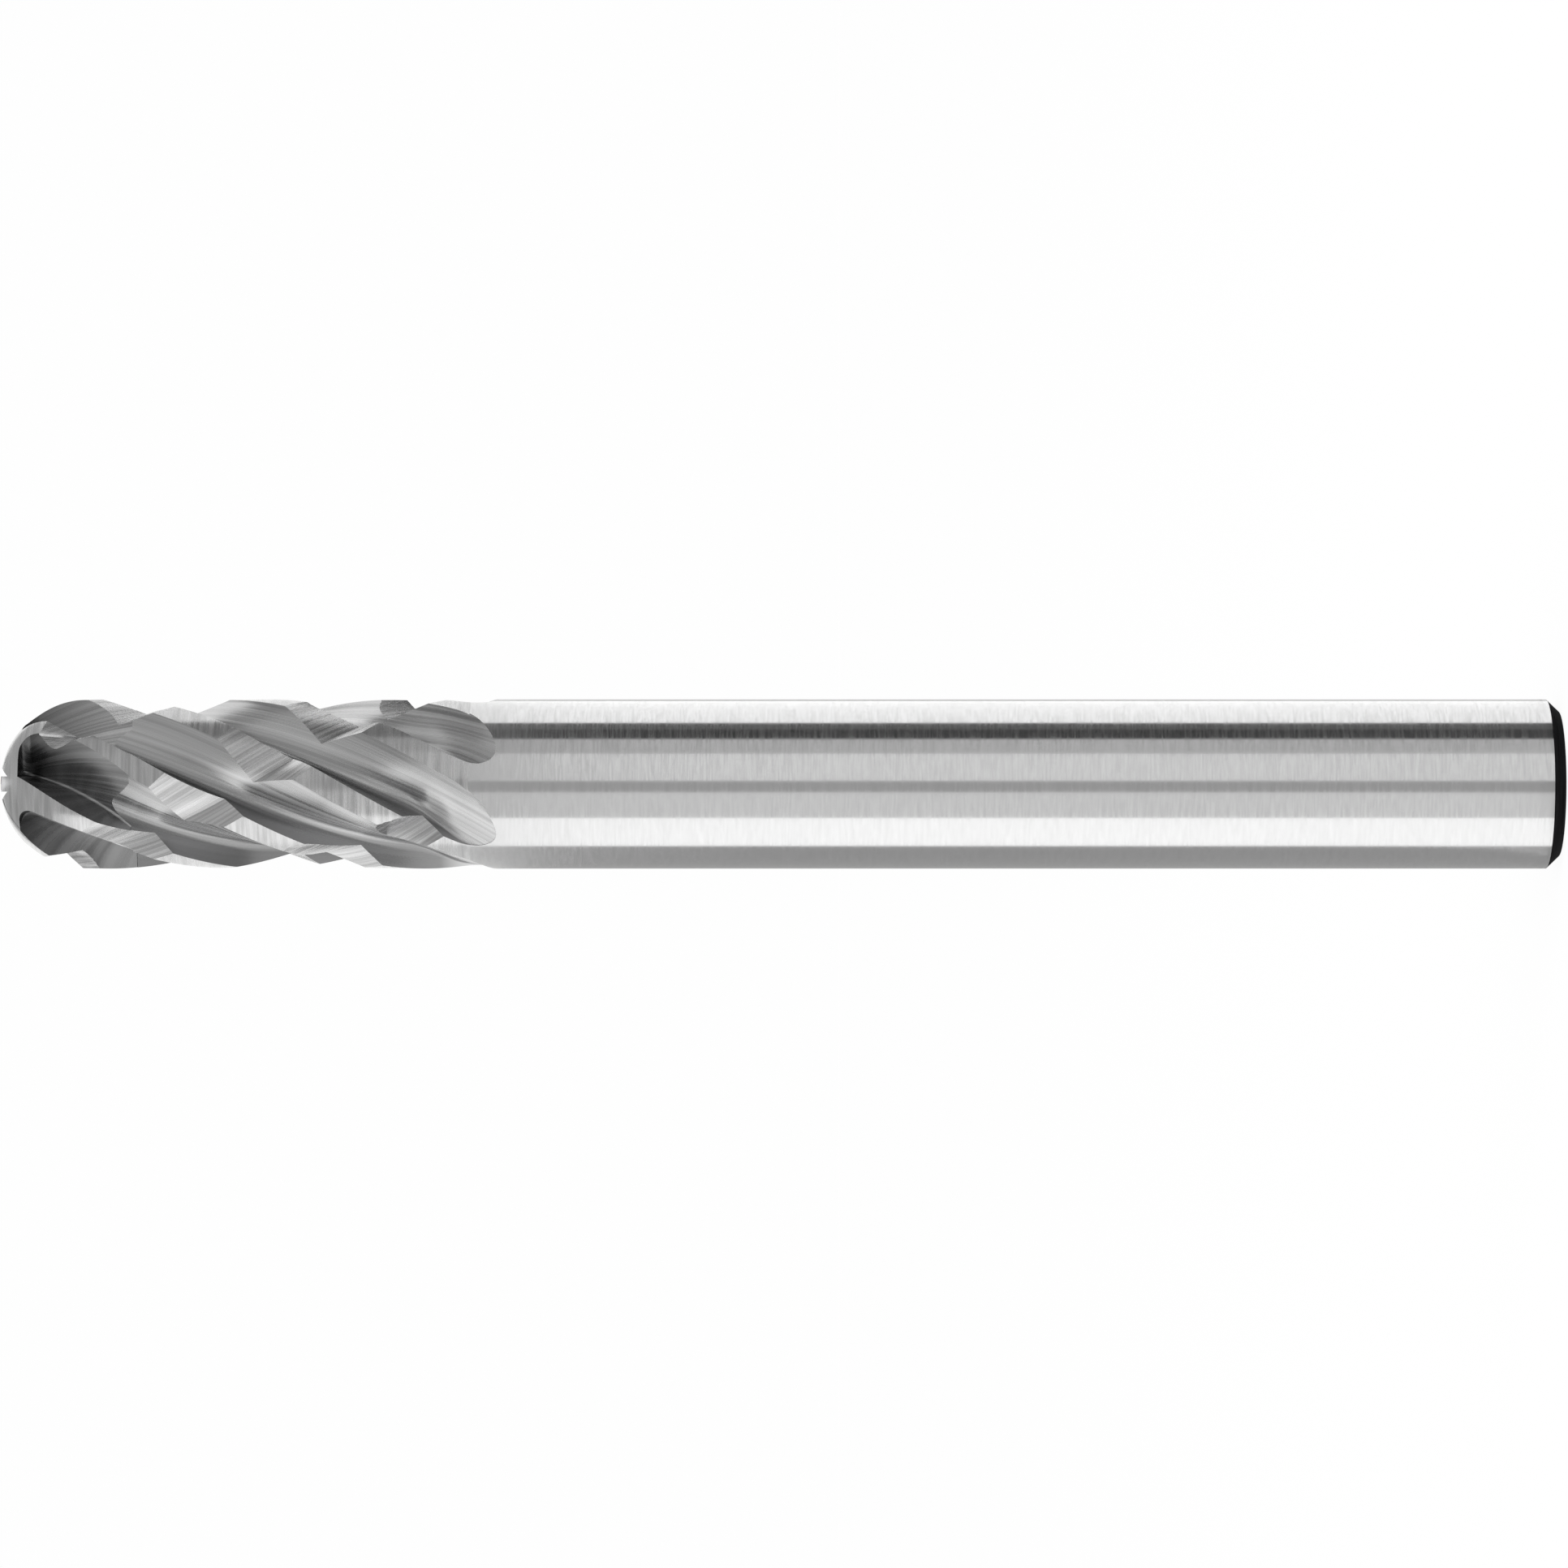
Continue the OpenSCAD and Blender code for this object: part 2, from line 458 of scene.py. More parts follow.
@dataclass(frozen=True)
class Flute:
    """A helical flute which rises out past the lands. Its root is rounder and its rise longer than the source's."""

    burr: Burr
    depth: float = 1.1
    rake_lean: float = 8.0
    root_share: float = 0.46
    round_end: float = 0.34
    back_swell: float = 0.12
    rise_l: float = 2.1
    rise_share: float = 0.98
    bend: float = 1.22
    blur: float = 0.45
    blur_share: float = 0.6
    blend_count: int = 7
    spare: float = 0.35
    outer_share: float = 1.4
    step: float = 0.13
    rise_step: float = 0.07
    end_step: float = 4.5
    round_points: int = 12
    back_points: int = 8
    # painted shade on the rake face and a painted highlight at the root, as shares of the metal's colour
    rake_painted_shade: float = -0.6
    root_painted_highlight: float = 0.15
    painted_shade_fade: float = 1.5

    def tone(self, s: float) -> list[float]:
        """Painted shade and highlight over the section: dark on the rake face and a little lighter at the root.

        The photographed faces are darker than the bare reflections make them. Why isn't known, so the shade is
        painted into the colour, and the amounts were chosen by comparing renders with the photograph.

        Args:
            s: distance below the tip.

        Returns:
            The painted shade or highlight at each point of the section.
        """
        share = min(1.0, self.painted_shade_fade * self.fall(s) / self.depth)
        rake = [self.rake_painted_shade, *np.linspace(self.rake_painted_shade, self.root_painted_highlight, self.round_points)]
        back = np.linspace(self.root_painted_highlight, 0.0, self.back_points)
        return [share * t for t in (*rake, *back, 0.0, 0.0)]

    @property
    def turn(self) -> float:
        """Turn of the flute's mouth, in degrees."""
        return self.burr.pitch - self.burr.land_turn

    @property
    def land_drop(self) -> float:
        """How far the land has fallen at its heel."""
        b = self.burr
        return b.r * math.tan(math.radians(b.land_relief)) * math.radians(b.land_turn)

    def fall(self, s: float) -> float:
        """Depth at the rake face, which rises smoothly to the surface where the lands stop."""
        t = min(1.0, max(0.0, (s - self.burr.cut_l + self.rise_l) / self.rise_l))
        return self.depth * (1 - self.rise_share * t * t * (1 + self.bend - self.bend * t))

    def mouth(self, s: float) -> float:
        """Width of the mouth in degrees, which closes in a round past the lands.

        Args:
            s: distance below the tip.

        Returns:
            The width.
        """
        b = self.burr
        if s <= b.cut_l:
            return self.turn
        left = max(0.001, 1 - (s - b.cut_l) / b.runout_l)
        return 2 * math.degrees(math.acos(1 - (1 - math.cos(math.radians(self.turn / 2))) * left))

    def section(self, s: float) -> list[np.ndarray]:
        """List the section's points at a distance s below the tip, with the tooth's edge on the x axis.

        Args:
            s: distance below the tip.

        Returns:
            The points.
        """
        b = self.burr
        depth = self.fall(s)
        mouth = math.radians(self.mouth(s))
        root = np.array([b.r - depth, depth * math.tan(math.radians(self.rake_lean))])
        back_r = b.r - self.land_drop * min(1.0, max(0.0, 1 - (s - b.cut_l) / b.runout_l))
        back = np.array([back_r * math.cos(mouth), back_r * math.sin(mouth)])
        up = unit(np.array([b.r, 0.0]) - root)
        reach = float(np.linalg.norm(back - root))
        along = (back - root) / reach
        side = np.array([along[1], -along[0]]) * self.back_swell * depth / self.depth

        def back_at(t: float) -> np.ndarray:
            """Point at a share t of the way from the root to the mouth's far side."""
            return root + along * reach * t + side * 4 * t * (1 - t)

        end, lead = back_at(self.round_end), along * reach + side * 4 * (1 - 2 * self.round_end)
        start = root + up * self.root_share * depth
        bend = root + up * float(np.linalg.solve(np.column_stack([up, lead]), end - root)[0])
        points = [root + up * (depth + self.spare)]
        points += [
            start * (1 - t) ** 2 + bend * 2 * t * (1 - t) + end * t * t for t in np.linspace(0, 1, self.round_points)
        ]
        points += [back_at(t) for t in np.linspace(self.round_end, 1, self.back_points + 1)[1:]]
        points += [root + along * (reach + self.spare)]
        points += [self.outer_share * b.r * np.array([math.cos(mouth / 2), math.sin(mouth / 2)])]
        return points

    def mesh(self) -> bpy.types.Object:
        """Build the cutter for one flute.

        Returns:
            The object.
        """
        b = self.burr
        rows = spaced(-0.3, b.cut_l - self.rise_l, self.step)
        rows += spaced(b.cut_l - self.rise_l, b.cut_l, self.rise_step)[1:]
        ends = np.arange(self.end_step, 90.1, self.end_step)
        rows += [b.cut_l + b.runout_l * math.sin(math.radians(a)) for a in ends]
        rings = [[b.placed(p, s) for p in self.soft_section(s)] for s in rows]
        return swept("flute_cutter", rings, Cut.FLUTE, True, [self.tone(s) for s in rows])

    def soft_section(self, s: float) -> np.ndarray:
        """Blend the sections near a distance s below the tip, so that the run-out has no crease.

        Args:
            s: distance below the tip.

        Returns:
            The blended points.
        """
        b = self.burr
        reach = min(self.blur, max(0.0, self.blur_share * (b.cut_l + b.runout_l - s)))
        total = 0.0
        for near in np.linspace(s - reach, s + reach, self.blend_count):
            spin = turn_matrix((self.turn - self.mouth(near)) / 2)[:2, :2]
            total = total + np.array([spin @ p for p in self.section(near)]) / self.blend_count
        return total


@dataclass(frozen=True)
class EndGash:
    """A gash with a flat floor and an upright wall that leaves the cap. Its root is less round than the source's."""

    burr: Burr
    flute: Flute
    slope: float
    start: float
    length: float = 4.0
    past_l: float = 0.8
    floor_lift: float = 0.1
    outer_share: float = 2.4
    floor_round: float = 0.55
    root_round: float = 0.12
    round_points: int = 6
    bite: float = 0.03
    step: float = 0.12
    # painted shade where the gash begins and on its wall, as shares of the metal's colour
    start_painted_shade: float = -0.8
    wall_painted_shade: float = -0.6

    def floor(self, s: float) -> float:
        """Distance from the axis to the gash's floor at a distance s below the tip.

        Args:
            s: distance below the tip.

        Returns:
            The distance.
        """
        t = max(0.0, 1 - (s - self.start) / self.floor_round)
        rise = self.floor_round * (1 - math.sqrt(max(0.0, 1 - t * t)))
        slope = math.tan(math.radians(self.slope))
        return self.burr.r - self.flute.depth + self.floor_lift - (self.length - s) * slope + rise

    def section(self, s: float) -> list[np.ndarray]:
        """List the section's points, from the rake face to the floor, at a distance s below the tip.

        Args:
            s: distance below the tip.

        Returns:
            The points.
        """
        b = self.burr
        lean = math.radians(self.flute.rake_lean)
        tilt = math.radians(b.twist * (self.length - s))
        depth = (b.r * math.cos(tilt) + self.bite * math.sin(tilt) - self.floor(s)) / math.cos(tilt - lean)
        root = np.array([b.r - depth * math.cos(lean), depth * math.sin(lean) - self.bite])
        up = np.array([math.cos(lean), -math.sin(lean)])
        along = np.array([math.sin(tilt), math.cos(tilt)])
        return [
            root + up * (depth + self.flute.spare),
            *rounded(root, up, along, self.root_round, self.round_points),
            root + along * self.outer_share * b.r,
        ]

    def mesh(self, name: str) -> bpy.types.Object:
        """Build the cutter for one gash. Like the source's it stops square, which leaves a small step.

        Args:
            name: the object's name.

        Returns:
            The object.
        """
        rows = [self.start + self.floor_round * (1 - math.cos(math.radians(a))) for a in range(0, 88, 8)]
        rows += spaced(self.start + self.floor_round, self.length + self.past_l, self.step)
        rings = [[self.burr.placed(p, s) for p in self.section(s)] for s in rows]
        return swept(name, rings, Cut.GASH, True, [self.tone(s) for s in rows])

    def tone(self, s: float) -> list[float]:
        """Painted shade over the section: dark where the gash begins and on its wall, chosen as the flute's is.

        Args:
            s: distance below the tip.

        Returns:
            The painted shade at each point of the section.
        """
        floor = float(np.interp(s, [self.start, self.length], [self.start_painted_shade, 0.0]))
        wall = min(floor, self.wall_painted_shade)
        return [wall, wall, *[floor] * self.round_points]


@dataclass(frozen=True)
class Gully:
    """A gully with one upright wall that parts two teeth on the cap.

    Here all are alike. In the source each is 0.006 mm shallower than the one before.
    """

    burr: Burr
    depth: float = 0.38
    offset: float = 0.27
    lead_turn: float = 13.1

    def mesh(self) -> bpy.types.Object:
        """Build the cutter for one gully.

        Returns:
            The object.
        """
        b = self.burr
        shape = [(self.offset, -self.depth), (self.offset + b.r, b.r - self.depth), (self.offset, b.r)]
        spin = turn_matrix(b.tooth_turn - self.lead_turn)
        rings = [[spin @ (along, across, b.total_l + up) for across, up in shape] for along in (-b.r, b.r)]
        return swept("gully_cutter", rings, Cut.GASH, True)


@dataclass(frozen=True)
class Breaker:
    """A left-hand chip-breaker groove with a long and a short wall."""

    burr: Burr
    tip_angle: float = 27.6
    end_angle: float = 42.5
    first_turn: float = 161.5
    depth: float = 0.6
    long_wall: float = 3.5
    short_wall: float = 1.4
    cap_l: float = 0.8
    cap_fade: float = 1.3
    end_l: float = 0.5
    end_fade: float = 0.9
    long_end: float = 0.85
    long_fade: float = 2.1
    least_long: float = 0.3
    ball_share: float = 1.5
    rise: float = 1.2
    step: float = 0.13

    @property
    def rate(self) -> float:
        """Turn of the groove for each millimetre at the tip, in degrees."""
        return math.degrees(math.tan(math.radians(self.tip_angle)) / self.burr.r)

    @property
    def gain(self) -> float:
        """Growth of the turn with the square of the distance."""
        end = math.degrees(math.tan(math.radians(self.end_angle)) / self.burr.r)
        return (end - self.rate) / (2 * self.burr.cut_l)

    def fall(self, s: float) -> float:
        """Depth of the groove, which fades near the cap and before the lands stop."""
        before_end = (self.burr.cut_l - self.end_l - s) / self.end_fade
        return self.depth * min(1.0, before_end, (s - self.cap_l) / self.cap_fade)

    def point(self, s: float, up: float, x: float) -> Corner:
        """Point of the section, up above the valley and x along the side of the head.

        Args:
            s: distance below the tip.
            up: height above the valley.
            x: distance from the valley, away from the tip.

        Returns:
            The point.
        """
        b = self.burr
        turn = self.first_turn + self.rate * s + self.gain * s * s
        r = b.r - self.fall(s) + up
        if s >= b.r:
            return b.at(r, turn, s + x)
        lean = math.acos((b.r - s) / b.r)
        return b.at(r * math.sin(lean) + x * math.cos(lean), turn, b.r - r * math.cos(lean) + x * math.sin(lean))

    def mesh(self) -> bpy.types.Object:
        """Build the cutter for one groove.

        Returns:
            The object.
        """
        b = self.burr
        rings = []
        for s in spaced(self.cap_l - 0.3, b.cut_l, self.step):
            long_share = min(1.0, max(self.least_long, (b.cut_l - self.long_end - s) / self.long_fade))
            short_share = self.ball_share if s < b.r else 1.0
            rings.append([
                self.point(s, 0, 0),
                self.point(s, self.rise, -self.rise / self.depth * self.long_wall * long_share),
                self.point(s, self.rise, self.rise / self.depth * self.short_wall * short_share),
            ])
        return swept("breaker_cutter", rings, Cut.BREAKER, True)


@dataclass(frozen=True)
class Finish:
    """Cemented tungsten carbide with the grinding marks of one kind of cut.

    Args:
        name: the material's name.
        colour: the metal's colour as sRGB hex.
        roughness: how far the marks spread a reflection.
        anisotropic: how much more they spread it across themselves.
        marks: the path of the marks.
        mark_mm: width of a fine mark.
        band_mm: width of the broader bands between them.
        run_mm: length over which a mark stays the same.
        depth_um: depth of the marks.
        contrast: how much lighter and darker the marks are than the metal between them.
        gash_share: turn of a gash's marks as a share of the teeth's twist.
        arc_share: radius at which the marks have their width, as a share of the head's.
        noise_range: the middle of the noise, which is spread over the whole range of a value.
        spread: the least and the most roughness, as shares of the given one.
    """

    name: str
    colour: str
    roughness: float
    anisotropic: float
    marks: Marks
    mark_mm: float
    band_mm: float
    run_mm: float
    depth_um: float
    contrast: float
    gash_share: float = 0.4
    arc_share: float = 0.8
    noise_range: tuple[float, float] = (0.38, 0.62)
    spread: tuple[float, float] = (0.8, 1.2)

    def unwound(self, tree: bpy.types.NodeTree, burr: Burr, breaker: Breaker) -> tuple[Any, Any]:
        """Turn the object's coordinates back along the path of the marks.

        Args:
            tree: the material's tree.
            burr: the tool, for its twist.
            breaker: the groove, for its own turn.

        Returns:
            The sockets of the unwound place and of the marks' direction.
        """
        place = add_node(tree, "ShaderNodeTexCoord").outputs["Object"]
        axis = add_node(tree, "ShaderNodeSeparateXYZ", {0: place})
        below_tip = math_node(tree, "SUBTRACT", burr.total_l * MM, axis.outputs[2])
        around = vector_node(tree, "CROSS_PRODUCT", {0: (0, 0, 1), 1: place})
        if self.marks is Marks.ROUND_THE_AXIS:
            return place, around
        if self.marks is Marks.ALONG_BREAKER:
            rate = -math.radians(breaker.rate) / MM
            gain = -math.radians(breaker.gain) / MM**2
            turn = math_node(tree, "MULTIPLY", below_tip, math_node(tree, "MULTIPLY_ADD", below_tip, gain, rate))
            lead = math_node(tree, "MULTIPLY_ADD", below_tip, 2 * gain, rate)
        else:
            share = 1.0 if self.marks is Marks.ALONG_FLUTE else self.gash_share
            rate = share * math.radians(burr.twist) / MM
            turn = math_node(tree, "MULTIPLY", below_tip, rate)
            lead = rate
        flat = add_node(
            tree, "ShaderNodeVectorRotate", {"Vector": place, "Angle": turn}, rotation_type="Z_AXIS"
        ).outputs[0]
        led = vector_node(tree, "SCALE", {0: around, "Scale": lead})
        path = vector_node(tree, "ADD", {0: led, 1: (0, 0, 1)})
        if self.marks is not Marks.ALONG_BREAKER:
            at = add_node(tree, "ShaderNodeSeparateXYZ", {0: flat})
            bearing = math_node(tree, "ARCTAN2", at.outputs[1], at.outputs[0])
            arc = math_node(tree, "MULTIPLY", bearing, self.arc_share * burr.r * MM)
            flat = add_node(tree, "ShaderNodeCombineXYZ", {0: arc, 1: 0.0, 2: at.outputs[2]}).outputs[0]
        return flat, path

    def material(self, burr: Burr, breaker: Breaker) -> bpy.types.Material:
        """Build the material, with marks from noise that is stretched along the burr's or the breaker's path.

        Args:
            burr: the tool, for its twist.
            breaker: the groove, for its own turn.

        Returns:
            The material.
        """
        made = bpy.data.materials.new(self.name)
        made.use_nodes = True
        tree = made.node_tree
        shader = next(n for n in tree.nodes if n.type == "BSDF_PRINCIPLED")
        shader.inputs["Metallic"].default_value = 1.0
        shader.inputs["Anisotropic"].default_value = self.anisotropic
        shader.inputs["Anisotropic Rotation"].default_value = 0.25
        place, path = self.unwound(tree, burr, breaker)
        tree.links.new(path, shader.inputs["Tangent"])

        def streaks(width_mm: float, detail: float, offset: float) -> Any:
            """Noise that is narrow across the marks and long along them.

            Args:
                width_mm: width of a mark.
                detail: the noise's detail.
                offset: where in the noise it starts.

            Returns:
                The noise's socket.
            """
            across, along = 0.5 / (width_mm * MM), 0.5 / (self.run_mm * MM)
            scale = (along, along, across) if self.marks is Marks.ROUND_THE_AXIS else (across, across, along)
            spot = {"Vector": place, "Scale": scale, "Location": (offset, offset, offset)}
            placed = add_node(tree, "ShaderNodeMapping", spot).outputs[0]
            look = {"Vector": placed, "Scale": 1.0, "Detail": detail, "Roughness": 0.6}
            return add_node(tree, "ShaderNodeTexNoise", look).outputs[0]

        fine = streaks(self.mark_mm, 2.0, 3.7)
        broad = streaks(self.band_mm, 1.0, 11.3)
        height = math_node(tree, "MULTIPLY_ADD", broad, self.band_mm / self.mark_mm * 0.5, fine)
        bump = add_node(tree, "ShaderNodeBump", {"Strength": 1.0, "Distance": self.depth_um * 1e-6, "Height": height})
        tree.links.new(bump.outputs[0], shader.inputs["Normal"])
        rough = self.ranged(tree, fine, *[self.roughness * share for share in self.spread])
        tree.links.new(rough, shader.inputs["Roughness"])
        both = math_node(tree, "MULTIPLY_ADD", fine, 0.5, math_node(tree, "MULTIPLY", broad, 0.5))
        level = self.ranged(tree, both, 1 - self.contrast, 1 + self.contrast)
        # the painted shade and highlight that flutes and gashes carry darken or lighten the base colour
        shade = add_node(tree, "ShaderNodeAttribute", attribute_name=PAINTED_SHADE_AND_HIGHLIGHT_NAME).outputs["Fac"]
        level = math_node(tree, "MULTIPLY", level, math_node(tree, "ADD", shade, 1.0))
        tone = vector_node(tree, "SCALE", {0: linear(self.colour)[:3], "Scale": level})
        tree.links.new(tone, shader.inputs["Base Color"])
        return made

    def ranged(self, tree: bpy.types.NodeTree, noise: Any, low: float, high: float) -> bpy.types.NodeSocket:
        """Spread the middle of a noise from a low value, where it is weak, to a high one.

        Args:
            tree: the material's tree.
            noise: the noise's socket.
            low: the value where the noise is weak.
            high: the value where it is strong.

        Returns:
            The value's socket.
        """
        weak, strong = self.noise_range
        inputs = {"Value": noise, "From Min": weak, "From Max": strong, "To Min": low, "To Max": high}
        return add_node(tree, "ShaderNodeMapRange", inputs).outputs[0]


FINISHES: dict[Cut, Finish] = {
    # shank: fine marks run round it, as centreless grinding leaves them, and keep long reflections crisp
    Cut.SHANK: Finish(
        "carbide_centreless_ground", "#D4D4D5", 0.2, 0.85, Marks.ROUND_THE_AXIS, 0.035, 0.1, 0.4, 0.5, 0.02
    ),
    # bevel: darker and softer than the shank, as in the photograph; the darker colour is painted shade for the dark
    # that the bevel mirrors
    Cut.BEVEL: Finish("carbide_bevel_painted_shade", "#77777B", 0.34, 0.3, Marks.ROUND_THE_AXIS, 0.05, 0.2, 1.5, 0.6, 0.1),
    # relieved lands: marks run round the head, a little coarser than on the shank
    Cut.LAND: Finish("carbide_land_ground", "#D2D2D3", 0.24, 0.7, Marks.ROUND_THE_AXIS, 0.05, 0.14, 1.0, 2.0, 0.17),
    # flutes: long marks follow the helix
    Cut.FLUTE: Finish("carbide_flute_ground", "#CBCBCC", 0.26, 0.6, Marks.ALONG_FLUTE, 0.05, 0.15, 8.0, 3.0, 0.24),
    # gashes: marks run close to the axis
    Cut.GASH: Finish("carbide_gash_ground", "#C8C8C9", 0.26, 0.6, Marks.ALONG_GASH, 0.045, 0.13, 8.0, 3.0, 0.28),
    # breaker grooves: marks follow the groove
    Cut.BREAKER: Finish(
        "carbide_breaker_ground", "#D0D0D1", 0.25, 0.6, Marks.ALONG_BREAKER, 0.05, 0.15, 6.0, 3.0, 0.26
    ),
}


@dataclass(frozen=True)
class CuttingTree:
    """The Geometry Nodes tree that repeats the cutters round the axis and takes them away."""

    name: str = "cut_the_teeth"

    def socket(self, tree: bpy.types.NodeTree, name: str, kind: str, default: int | None = None) -> None:
        """Add a named input of a kind, with its default value if it has one.

        Args:
            tree: the tree.
            name: the input's name.
            kind: its kind.
            default: its default value, if it has one.
        """
        made = tree.interface.new_socket(name=name, in_out="INPUT", socket_type=f"NodeSocket{kind}")
        if default is not None:
            made.default_value = default

    def shape(self, tree: bpy.types.NodeTree, given: bpy.types.Node, name: str) -> bpy.types.NodeSocket:
        """Take the geometry of the object at a named input."""
        info = add_node(tree, "GeometryNodeObjectInfo", {"Object": given.outputs[name]}, transform_space="ORIGINAL")
        return info.outputs["Geometry"]

    def ring(
        self, tree: bpy.types.NodeTree, given: bpy.types.Node, cutter: str, count: Any, first_turn: Any
    ) -> bpy.types.NodeSocket:
        """Set copies of a cutter evenly round the axis.

        Args:
            tree: the tree.
            given: the tree's input node.
            cutter: name of the input that holds the cutter.
            count: socket of the number of copies.
            first_turn: turn of the first copy, in radians.

        Returns:
            The copies' socket.
        """
        points = add_node(tree, "GeometryNodePoints", {"Count": count})
        index = add_node(tree, "GeometryNodeInputIndex").outputs[0]
        step = math_node(tree, "DIVIDE", 2 * math.pi, count)
        turn = math_node(tree, "MULTIPLY_ADD", index, step, first_turn)
        rotation = add_node(tree, "FunctionNodeAxisAngleToRotation", {"Axis": (0, 0, 1), "Angle": turn})
        shape = self.shape(tree, given, cutter)
        placed = {"Points": points.outputs[0], "Instance": shape, "Rotation": rotation.outputs[0]}
        return add_node(tree, "GeometryNodeInstanceOnPoints", placed).outputs[0]

    def build(self, materials: dict[Cut, bpy.types.Material]) -> bpy.types.NodeTree:
        """Build the tree, which cuts the teeth, realizes its instances and then sets the materials.

        Args:
            materials: the material of each kind of face.

        Returns:
            The tree.
        """
        tree = bpy.data.node_groups.new(self.name, "GeometryNodeTree")
        self.socket(tree, "Tooth blank", "Geometry")
        self.socket(tree, "Shank blank", "Object")
        for cutter in ("Flute", "Even gash", "Odd gash", "Gully", "Breaker"):
            self.socket(tree, f"{cutter} cutter", "Object")
        self.socket(tree, "Teeth", "Int", 6)
        self.socket(tree, "Breaker grooves", "Int", 3)
        tree.interface.new_socket(name="Burr", in_out="OUTPUT", socket_type="NodeSocketGeometry")
        given = add_node(tree, "NodeGroupInput")
        teeth = given.outputs["Teeth"]
        halved = math_node(tree, "DIVIDE", teeth, 2.0)
        even, odd = math_node(tree, "CEIL", halved), math_node(tree, "FLOOR", halved)
        pitch = math_node(tree, "DIVIDE", 2 * math.pi, teeth)
        rings = [
            self.ring(tree, given, "Flute cutter", teeth, 0.0),
            self.ring(tree, given, "Even gash cutter", even, 0.0),
            self.ring(tree, given, "Odd gash cutter", odd, pitch),
            self.ring(tree, given, "Gully cutter", teeth, 0.0),
            self.ring(tree, given, "Breaker cutter", given.outputs["Breaker grooves"], 0.0),
        ]
        blanks = {"Mesh": [given.outputs["Tooth blank"], self.shape(tree, given, "Shank blank")]}
        whole = add_node(tree, "GeometryNodeMeshBoolean", blanks, operation="UNION", solver="MANIFOLD")
        parts = {"Mesh 1": whole.outputs[0], "Mesh 2": rings}
        cut = add_node(tree, "GeometryNodeMeshBoolean", parts, operation="DIFFERENCE", solver="MANIFOLD")
        last = add_node(tree, "GeometryNodeRealizeInstances", {0: cut.outputs[0]}).outputs[0]
        kind = add_node(tree, "GeometryNodeInputNamedAttribute", {"Name": CUT_NAME}, data_type="INT")
        value = kind.outputs["Attribute"]
        for one, material in materials.items():
            pair = {2: value, 3: one.value}
            same = add_node(tree, "FunctionNodeCompare", pair, data_type="INT", operation="EQUAL").outputs[0]
            dressed = {"Geometry": last, "Selection": same, "Material": material}
            last = add_node(tree, "GeometryNodeSetMaterial", dressed).outputs[0]
        add_node(tree, "NodeGroupOutput", {0: last})
        return tree


